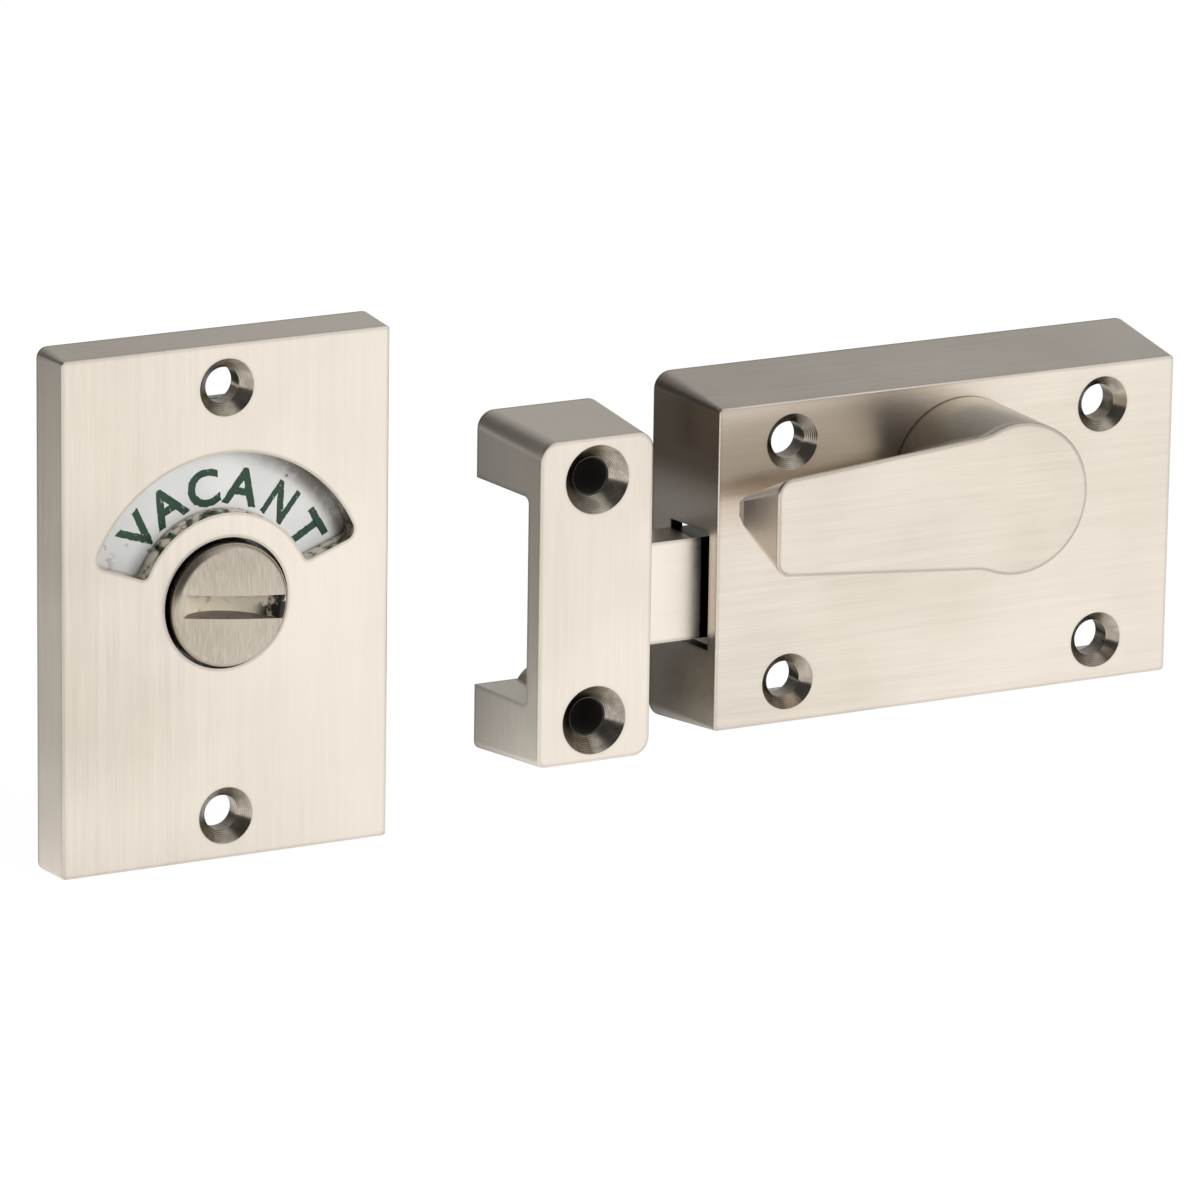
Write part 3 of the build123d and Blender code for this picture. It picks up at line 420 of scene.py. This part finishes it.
def satin(name, axis, shift=(0, 0, 0), dull=0.0, bright=(0.0, 0.0), bright_span=(0.0, 1.0),
          outline=OUTLINE_SHARE, marks=None, sinks=None):
    """Satin nickel with a linished grain along one axis, and painted sheen that makes it brighter from one
    end to the other or evenly lighter.
    """
    s = Shader(name)
    fine = s.noise(1.0, stretched(axis, *FINE_GRAIN), detail=2.0, rough=0.6, shift=shift)
    streak = s.noise(1.0, stretched(axis, *STREAK_GRAIN), detail=3.0, rough=0.6, shift=shift)
    cloud = s.noise(CLOUD_SCALE, detail=3.0, rough=0.5, shift=shift)
    tone = s.plus(
        s.ramp(streak, NOISE_SPAN, STREAK_TONE),
        s.ramp(fine, FINE_SPAN, FINE_TONE),
        s.ramp(cloud, NOISE_SPAN, CLOUD_TONE),
    )
    share = s.math("ADD", s.times(tone, GRAIN_SHARE), DULL_SHARE + dull, clamp=True)
    tint = s.noise(TINT_SCALE, detail=2.0, rough=0.5, shift=(shift[2], shift[0], shift[1]))
    colour = s.mix(share, s.mix(s.ramp(tint, TINT_SPAN), NICKEL_PINK, NICKEL), NICKEL_DULL)
    # Painted sheen: lighter along X over bright_span, or evenly lighter where both shares in bright are the
    # same
    colour = s.mix(s.ramp(s.x, bright_span, bright), colour, NICKEL_SHEEN)
    rough = s.plus(s.ramp(cloud, NOISE_SPAN, CLOUD_ROUGH), s.ramp(fine, FINE_WIDE_SPAN, FINE_ROUGH))
    normal = s.bump(fine, FINE_HEIGHT, FINE_BUMP)
    normal = s.bump(streak, STREAK_HEIGHT, STREAK_BUMP, normal)
    if marks:
        colour, rough = marks(s, colour, rough)
    # Painted shade: a thin brown line where a rounded edge turns away from the flat face
    rounded = s.add("ShaderNodeBevel", {"Radius": OUTLINE_RADIUS}, samples=OUTLINE_SAMPLES)
    edge = s.ramp(s.dot(rounded.outputs["Normal"], s.true_normal), OUTLINE_SPAN)
    colour = s.mix(s.times(edge, outline), colour, EDGE_SHADE)
    if sinks:
        colour, rough, normal = countersinks(s, colour, rough, normal, sinks, shift)
    s.bsdf.inputs["Metallic"].default_value = 1.0
    s.bsdf.inputs["Anisotropic"].default_value = SATIN_ANISOTROPY
    along = s.add("ShaderNodeCombineXYZ")
    along.inputs["XYZ".index(axis)].default_value = 1.0
    return s.finish(Base_Color=colour, Roughness=rough, Normal=normal, Tangent=along.outputs[0])


# The coin turn's button, and its slot, which rests turned a little clockwise from level
BUTTON_GRAIN = (260, 4200)
BUTTON_CLOUD_SCALE = 70.0
BUTTON_CLOUD_SHADE = (0.62, 0.86)
BUTTON_FINE_TONE = (-0.14, 0.14)
BUTTON_ROUGH = (0.28, 0.38)
BUTTON_HEIGHT = 0.006 * MM
BUTTON_BUMP = 0.5
BUTTON_UNDER_FRONT = 0.1 * MM
SLOT_TILT = math.radians(6.5)
SLOT_HALF_WIDTH = 1.7 * MM
SLOT_OVER_WIDTH = 0.02 * MM
SLOT_HALF_LENGTH = 8.3 * MM
SLOT_LEFT_END = -7.45 * MM
SLOT_BLACK_END = (4.4 * MM, 6.4 * MM)
SLOT_SMUDGE_SCALE = 500.0
SLOT_STAIN_SPAN = (0.52, 0.78)
SLOT_BLACK_SPAN = (0.35, 0.5)
SLOT_WALL_TURNED = 0.7
SLOT_ROUGH = 0.5
SLOT_METAL = 0.15


def coin_metal():
    """Satin button, darkened as painted shade, with a worn slot: a bright floor, a dull lower wall and a
    patchy black right end; black painted shade round it in the plate's hole.
    """
    s = Shader("coin_nickel")
    fine = s.noise(1.0, stretched("Z", *BUTTON_GRAIN), detail=2.0, rough=0.6)
    cloud = s.noise(BUTTON_CLOUD_SCALE, detail=3.0, rough=0.5)
    # Painted shade: the button is a darker copy of the nickel, cloudy and with a fine tone from its grain
    worn = s.plus(
        s.ramp(cloud, NOISE_SPAN, BUTTON_CLOUD_SHADE),
        s.ramp(fine, FINE_SPAN, BUTTON_FINE_TONE),
    )
    colour = s.mix(worn, NICKEL, COIN_SHADE)
    across = s.minus(s.x, COIN_MID.x)
    high = s.minus(s.z, COIN_MID.z)
    cosine = math.cos(SLOT_TILT)
    sine = math.sin(SLOT_TILT)
    along = s.minus(s.times(across, cosine), s.times(high, sine))
    off = s.plus(s.times(across, sine), s.times(high, cosine))
    in_slot = s.times(
        s.less(s.size(off), SLOT_HALF_WIDTH + SLOT_OVER_WIDTH),
        s.less(s.radius(COIN_MID.x, COIN_MID.z), SLOT_HALF_LENGTH),
        s.more(along, SLOT_LEFT_END),
    )
    smudge = s.noise(SLOT_SMUDGE_SCALE, detail=4.0, rough=0.6)
    ground = s.mix(s.ramp(smudge, SLOT_STAIN_SPAN), SLOT_CREAM, SLOT_STAIN)
    # Patchy black towards the slot's right end
    black_end = s.times(s.ramp(along, SLOT_BLACK_END), s.ramp(smudge, SLOT_BLACK_SPAN))
    ground = s.mix(black_end, ground, SHADE_AND_MARK_BLACK)
    wall = s.mix(s.ramp(smudge, NOISE_SPAN), WALL_BROWN, WALL_GREY)
    ground = s.mix(s.more(s.size(s.normal_z), SLOT_WALL_TURNED), ground, wall)
    colour = s.mix(in_slot, colour, ground)
    # Painted shade: black on the button's side behind the plate's front, in the gap of its hole
    sunk = s.times(s.more(s.y, SIGN_FRONT + BUTTON_UNDER_FRONT), s.minus(1.0, in_slot))
    colour = s.mix(sunk, colour, SHADE_AND_MARK_BLACK)
    rough = s.blend(in_slot, s.ramp(fine, FINE_WIDE_SPAN, BUTTON_ROUGH), SLOT_ROUGH)
    normal = s.bump(fine, BUTTON_HEIGHT, BUTTON_BUMP)
    metal = s.blend(in_slot, 1.0, SLOT_METAL)
    return s.finish(Base_Color=colour, Roughness=rough, Normal=normal, Metallic=metal)


# The disc's enamel and its marks. Radii are from its centre, and places across are along X.
ENAMEL_CLOUD_SCALE = 120.0
ENAMEL_ROUGH = (0.28, 0.4)
COAT = 0.4
COAT_ROUGH = 0.12
SPECK_SCALE = 330.0
SPECK_SIZE = 0.10
SPECKS_LEFT_OUT = 0.30
SPECK_SHARE = 0.8
DISC_SMUDGE_SCALE = 260.0
RIM_GRIME_SPAN = (20.5 * MM, 22.5 * MM)
RIM_GRIME_SMUDGE = (0.45, 0.7)
RIM_GRIME_SHARE = 0.45
RIM_STAIN_SPAN = (18.9 * MM, 21.0 * MM)
RIM_STAIN_ACROSS = (COIN_MID.x + 3 * MM, COIN_MID.x + 12 * MM)
RIM_STAIN_SMUDGE = (0.32, 0.56)
RIM_STAIN_SHARE = (0.25, 0.8)
GREYER_ACROSS = (COIN_MID.x - 6.0 * MM, COIN_MID.x - 18.0 * MM)
GREYER_SHARE = (0.0, 0.9)
CHIP_ACROSS = (COIN_MID.x - 15.0 * MM, COIN_MID.x - 19.0 * MM)
CHIP_SCALE = 520.0
CHIP_SPAN = (0.52, 0.57)
CHIP_SHARE = 0.85
FACING_FRONT = -0.5


def enamel():
    """White enamel, greyer on the left as painted shade, with specks, a stained rim and a few rusty chips.
    """
    s = Shader("disc_enamel")
    cloud = s.noise(ENAMEL_CLOUD_SCALE, detail=3.0, rough=0.5)
    colour = s.mix(s.ramp(cloud, NOISE_SPAN), ENAMEL, ENAMEL_GREY)
    dots = s.add("ShaderNodeTexVoronoi", {"Vector": s.place, "Scale": SPECK_SCALE})
    chosen = s.add("ShaderNodeSeparateColor", {"Color": dots.outputs["Color"]})
    speck = s.times(s.less(dots.outputs["Distance"], SPECK_SIZE), s.more(chosen.outputs[0], SPECKS_LEFT_OUT))
    colour = s.mix(s.times(speck, SPECK_SHARE), colour, ENAMEL_DIRT)
    ring = s.radius(COIN_MID.x, COIN_MID.z)
    smudge = s.noise(DISC_SMUDGE_SCALE, detail=4.0, rough=0.65)
    grime = s.times(s.ramp(ring, RIM_GRIME_SPAN), s.ramp(smudge, RIM_GRIME_SMUDGE))
    colour = s.mix(s.times(grime, RIM_GRIME_SHARE), colour, ENAMEL_DIRT)
    stain = s.times(
        s.ramp(ring, RIM_STAIN_SPAN),
        s.ramp(s.x, RIM_STAIN_ACROSS),
        s.ramp(smudge, RIM_STAIN_SMUDGE, RIM_STAIN_SHARE),
    )
    colour = s.mix(stain, colour, ENAMEL_DIRT)
    # Painted shade: greyer towards the left
    colour = s.mix(s.ramp(s.x, GREYER_ACROSS, GREYER_SHARE), colour, ENAMEL_LEFT)
    chip = s.times(
        s.ramp(s.x, CHIP_ACROSS),
        s.less(s.normal_y, FACING_FRONT),
        s.ramp(s.noise(CHIP_SCALE, detail=2.0, rough=0.5, shift=(4, 0, 0)), CHIP_SPAN),
    )
    colour = s.mix(s.times(chip, CHIP_SHARE), colour, CHIP_RED)
    s.bsdf.inputs["Coat Weight"].default_value = COAT
    s.bsdf.inputs["Coat Roughness"].default_value = COAT_ROUGH
    return s.finish(Base_Color=colour, Roughness=s.ramp(cloud, NOISE_SPAN, ENAMEL_ROUGH))


# Printed letters
INK_WEAR_SCALE = 1500.0
INK_WEAR_SPAN = (0.62, 0.70)
INK_ROUGH = (0.35, 0.5)


def print_ink(name, colour):
    """Printed enamel letter with worn patches."""
    s = Shader(name)
    worn = s.noise(INK_WEAR_SCALE, detail=3.0, rough=0.6)
    shade = s.mix(s.ramp(worn, INK_WEAR_SPAN), colour, INK_WORN)
    return s.finish(Base_Color=shade, Roughness=s.ramp(worn, NOISE_SPAN, INK_ROUGH))


# Zinc plated steel and spring steel of the hidden pieces
STEEL_CLOUD_SCALE = 900.0
STEEL_DARKER = 0.72
STEEL_ROUGHER = 0.12
STEEL_HEIGHT = 0.004 * MM
STEEL_BUMP = 0.4
ZINC_ROUGH = 0.28
SPRING_ROUGH = 0.3


def plain_metal(name, colour, rough):
    """Plated or oiled steel, a little cloudy."""
    s = Shader(name)
    cloud = s.noise(STEEL_CLOUD_SCALE, detail=3.0, rough=0.6)
    darker = tuple(STEEL_DARKER * value for value in colour)
    s.bsdf.inputs["Metallic"].default_value = 1.0
    return s.finish(
        Base_Color=s.mix(s.ramp(cloud, NOISE_SPAN), colour, darker),
        Roughness=s.ramp(cloud, NOISE_SPAN, (rough, rough + STEEL_ROUGHER)),
        Normal=s.bump(cloud, STEEL_HEIGHT, STEEL_BUMP),
    )


def dress(material, *names):
    for name in names:
        slots = nodes[name].data.materials
        slots.clear()
        slots.append(material)


# Materials of the CAD nodes
dress(
    satin(
        "case_nickel", "X", bright=(0.0, 0.30), bright_span=(CASE_LOW.x, CASE_HIGH.x),
        marks=case_marks, sinks=CASE_SINKS,
    ),
    "bolt_case",
)
dress(satin("keep_nickel", "Z", (3, 1, 2), bright=(0.4, 0.4), sinks=KEEP_SINKS), "keep")
dress(
    satin(
        "plate_nickel", "Z", (7, 5, 1), bright=(0.0, 0.62), bright_span=(SIGN_LOW.x, SIGN_HIGH.x),
        marks=sign_marks, sinks=SIGN_SINKS,
    ),
    "indicator_plate",
)
dress(satin("turn_nickel", "X", (2, 9, 4), outline=LEVER_OUTLINE_SHARE, marks=lever_marks), "thumbturn")
dress(satin("bolt_nickel", "X", (5, 3, 8), dull=-0.22, bright=(0.75, 0.75), marks=bolt_marks), "bolt")
dress(coin_metal(), "coin_turn")
dress(enamel(), "indicator_disc")
dress(
    plain_metal("plated_steel", ZINC, ZINC_ROUGH),
    "back_plate", "back_plate_screws", "stop_pin", "spring_rivet", "drive_pinion", "turn_washer",
    "turn_grub_screw", "indicator_bridge", "bridge_screws", "indicator_stop_pin", "disc_rivets",
    "indicator_washer", "tail_bar", "tail_bar_pin",
)
dress(plain_metal("spring_steel", SPRING_GREY, SPRING_ROUGH), "bolt_spring", "retaining_ring")

# Words on the disc, letter by letter on an arc. Angles are in degrees clockwise from the top.
LETTER_BASE_R = 13.75 * MM
LETTER_SIZE = 7.35 * MM
LETTER_THICK = 0.03 * MM
LETTER_BOLD = 0.20 * MM
LETTER_RAGGED = 0.14 * MM
RAGGED_LENGTH = 0.42 * MM
EDGE_STEP = 0.28 * MM
JOIN_DISTANCE = 0.001 * MM
RAGGED_SEED_STEP = 7.3
RAGGED_ACROSS = Vector((0, 31, 7))
NARROW_N = 0.80
VACANT_ANGLES = (-48.0, -28.7, -7.3, 14.3, 37.8, 59.5)
ENGAGED_MIDDLE = 183.5
ENGAGED_STEP = 18.0
ENGAGED_ANGLES = tuple(ENGAGED_MIDDLE + ENGAGED_STEP * step for step in range(-3, 4))


def drop_doubled_faces(work):
    """Delete pairs of faces that lie on the same corners."""
    seen = {}
    doubled = []
    for face in work.faces:
        corners = frozenset(face.verts)
        if corners in seen:
            doubled.append(seen[corners])
            doubled.append(face)
        seen[corners] = face
    bmesh.ops.delete(work, geom=doubled, context="FACES")


def ragged(mesh, seed):
    """Break the clean outline of a letter, as stencilled enamel runs a little."""
    work = bmesh.new()
    work.from_mesh(mesh)
    bmesh.ops.remove_doubles(work, verts=work.verts, dist=JOIN_DISTANCE)
    for edge in list(work.edges):
        cuts = int(edge.calc_length() / EDGE_STEP)
        if cuts > 0:
            bmesh.ops.subdivide_edges(work, edges=[edge], cuts=cuts)
    for vertex in work.verts:
        place = Vector((vertex.co.x, vertex.co.y, 0)) / RAGGED_LENGTH + Vector((seed, 0, 0))
        vertex.co.x += noise.noise(place) * LETTER_RAGGED
        vertex.co.y += noise.noise(place + RAGGED_ACROSS) * LETTER_RAGGED
    bmesh.ops.triangulate(work, faces=work.faces)
    drop_doubled_faces(work)
    work.to_mesh(mesh)
    work.free()


def letter(text, number, word, angle, material):
    """One letter whose foot points at the disc's centre, at an angle clockwise from the top."""
    font = bpy.data.curves.new(f"{word}_{number}", "FONT")
    font.body = text
    font.size = LETTER_SIZE
    font.align_x = "CENTER"
    font.extrude = LETTER_THICK / 2
    font.offset = LETTER_BOLD
    draft = bpy.data.objects.new(f"{word}_draft", font)
    collection.objects.link(draft)
    bpy.context.view_layer.update()
    mesh = bpy.data.meshes.new_from_object(draft.evaluated_get(bpy.context.evaluated_depsgraph_get()))
    bpy.data.objects.remove(draft)
    ragged(mesh, RAGGED_SEED_STEP * number + angle)
    narrow = Matrix.Diagonal((NARROW_N if text == "N" else 1, 1, 1, 1))
    upright = Matrix.Rotation(math.radians(90), 4, "X")
    turned = Matrix.Rotation(angle, 4, "Y")
    middle = Matrix.Translation((COIN_MID.x, DISC_FRONT, COIN_MID.z))
    raised = Matrix.Translation((0, LETTER_BASE_R, 0))
    mesh.transform(middle @ turned @ upright @ raised @ narrow)
    mesh.materials.append(material)
    piece = bpy.data.objects.new(f"{word}_{number}_{text}", mesh)
    collection.objects.link(piece)
    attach(piece, "indicator")


def letters(text, angles, material):
    """A word on the disc, its pieces named after it in small letters."""
    for number, (character, angle) in enumerate(zip(text, angles)):
        letter(character, number, text.lower(), math.radians(angle), material)


letters("VACANT", VACANT_ANGLES, print_ink("ink_green", GREEN))
letters("ENGAGED", ENGAGED_ANGLES, print_ink("ink_red", RED))

# Floor
FLOOR_HALF = 15.0
FLOOR_GAP = 0.05 * MM
floor_z = cad_box[0][2] - FLOOR_GAP
floor_corners = [
    (-FLOOR_HALF, -FLOOR_HALF, floor_z),
    (FLOOR_HALF, -FLOOR_HALF, floor_z),
    (FLOOR_HALF, FLOOR_HALF, floor_z),
    (-FLOOR_HALF, FLOOR_HALF, floor_z),
]
floor_mesh = bpy.data.meshes.new("floor")
floor_mesh.from_pydata(floor_corners, [], [(0, 1, 2, 3)])
floor = bpy.data.objects.new("floor", floor_mesh)
collection.objects.link(floor)

# What the metal sees of the floor: bright in front, darker behind and darkest behind the case.
# The spans behind are along X plus Y.
GLEAM_FRONT = 1.09
GLEAM_BEHIND = 0.05
GLEAM_BEHIND_LEFT = 0.68
GLEAM_FAR = 0.60
GLEAM_LEFT_SPAN = (-0.080, -0.052)
GLEAM_FAR_SPAN = (0.03, 0.12)
GLEAM_DEPTH_SPAN = (0.03, -0.03)
FLOOR_ROUGH = 0.9
FLOOR_SHOWN = 1.08
FLOOR_SHOWN_SHARE = 0.90


def floor_material():
    """White for the camera with a faint shadow, and a soft gradient in what metal reflects."""
    s = Shader("floor_white")
    s.finish(Base_Color=FLOOR_WHITE, Roughness=FLOOR_ROUGH)
    lit = s.bsdf.outputs[0]
    path = s.add("ShaderNodeLightPath")
    shown = s.add("ShaderNodeEmission", {"Strength": FLOOR_SHOWN})
    slant = s.plus(s.x, s.y)
    behind = s.blend(s.ramp(slant, GLEAM_LEFT_SPAN), GLEAM_BEHIND_LEFT, GLEAM_BEHIND)
    behind = s.blend(s.ramp(slant, GLEAM_FAR_SPAN), behind, GLEAM_FAR)
    depth = s.blend(s.ramp(s.y, GLEAM_DEPTH_SPAN), behind, GLEAM_FRONT)
    gleam = s.add("ShaderNodeEmission", {"Strength": depth})
    part = s.either(FLOOR_SHOWN_SHARE, lit, shown.outputs[0])
    glossy = s.either(path.outputs["Is Glossy Ray"], lit, gleam.outputs[0])
    camera_view = s.either(path.outputs["Is Camera Ray"], glossy, part)
    s.feed(s.tree.nodes["Material Output"].inputs["Surface"], camera_view)
    return s.material


floor.data.materials.append(floor_material())

# The studio that the metal reflects, as soft patches of light round a direction on a dim ground.
# A span is the cosine of the angle from it at which the patch starts, and at which it is full.
Patch = namedtuple("Patch", "direction span strength")
FRONT_LIGHT = Patch((0.50, -0.85, -0.15), (0.50, 0.90), 1.0)
WALL_BEHIND = Patch((0.50, 0.85, 0.12), (0.45, 0.88), 0.31)
LIGHT_ABOVE = Patch((0.45, -0.20, 0.87), (0.62, 0.94), 0.60)
DIM_STRENGTH = 0.10
BACKDROP_STRENGTH = 1.0

world = bpy.data.worlds.new("studio")
bpy.context.scene.world = world
world.use_nodes = True
sky = Nodes(world.node_tree)
looking = sky.add("ShaderNodeTexCoord").outputs["Generated"]
patches = [
    sky.ramp(sky.dot(looking, patch.direction), patch.span, (0.0, patch.strength))
    for patch in (FRONT_LIGHT, WALL_BEHIND, LIGHT_ABOVE)
]
glow = sky.plus(*patches, DIM_STRENGTH)
camera_ray = sky.add("ShaderNodeLightPath").outputs["Is Camera Ray"]
background = sky.tree.nodes["Background"]
background.inputs["Color"].default_value = (1, 1, 1, 1)
sky.feed(background.inputs["Strength"], sky.blend(camera_ray, glow, BACKDROP_STRENGTH))

# Soft key light, which the metal doesn't show as a spot
LAMP_PLACE = Vector((0.35, -0.95, 0.30))
LAMP_TARGET = Vector((-0.05, 0, 0))
LAMP_SIZE = 0.7
LAMP_POWER = 5.5

lamp_data = bpy.data.lights.new("key", "AREA")
lamp_data.shape = "DISK"
lamp_data.size = LAMP_SIZE
lamp_data.energy = LAMP_POWER
lamp = bpy.data.objects.new("key", lamp_data)
lamp.visible_glossy = False
lamp.location = LAMP_PLACE
lamp.rotation_euler = (LAMP_TARGET - LAMP_PLACE).to_track_quat("-Z", "Y").to_euler()
collection.objects.link(lamp)

# Camera at the photograph's viewing angle
CAMERA_AZIMUTH = math.radians(-27.953)
CAMERA_ELEVATION = math.radians(15.852)
CAMERA_ROLL = math.radians(0.865)
CAMERA_DISTANCE = 1278.11 * MM
CAMERA_TARGET = Vector((-48.318 * MM, 0, -7.283 * MM))
SENSOR_WIDTH = 36.0
PICTURE_SIDE = 1200
FOCAL_PIXELS = 8793.3

back = Vector((
    math.sin(CAMERA_AZIMUTH) * math.cos(CAMERA_ELEVATION),
    -math.cos(CAMERA_AZIMUTH) * math.cos(CAMERA_ELEVATION),
    math.sin(CAMERA_ELEVATION),
))
level_right = Vector((math.cos(CAMERA_AZIMUTH), math.sin(CAMERA_AZIMUTH), 0))
level_up = back.cross(level_right)
right = math.cos(CAMERA_ROLL) * level_right + math.sin(CAMERA_ROLL) * level_up
up = math.cos(CAMERA_ROLL) * level_up - math.sin(CAMERA_ROLL) * level_right
camera_data = bpy.data.cameras.new("camera")
camera_data.sensor_width = SENSOR_WIDTH
camera_data.lens = FOCAL_PIXELS * SENSOR_WIDTH / PICTURE_SIDE
camera = bpy.data.objects.new("camera", camera_data)
camera_turn = Matrix((right, up, back)).transposed().to_4x4()
camera.matrix_world = Matrix.Translation(CAMERA_TARGET + back * CAMERA_DISTANCE) @ camera_turn
collection.objects.link(camera)
bpy.context.scene.camera = camera

bpy.context.scene.view_settings.view_transform = "Standard"
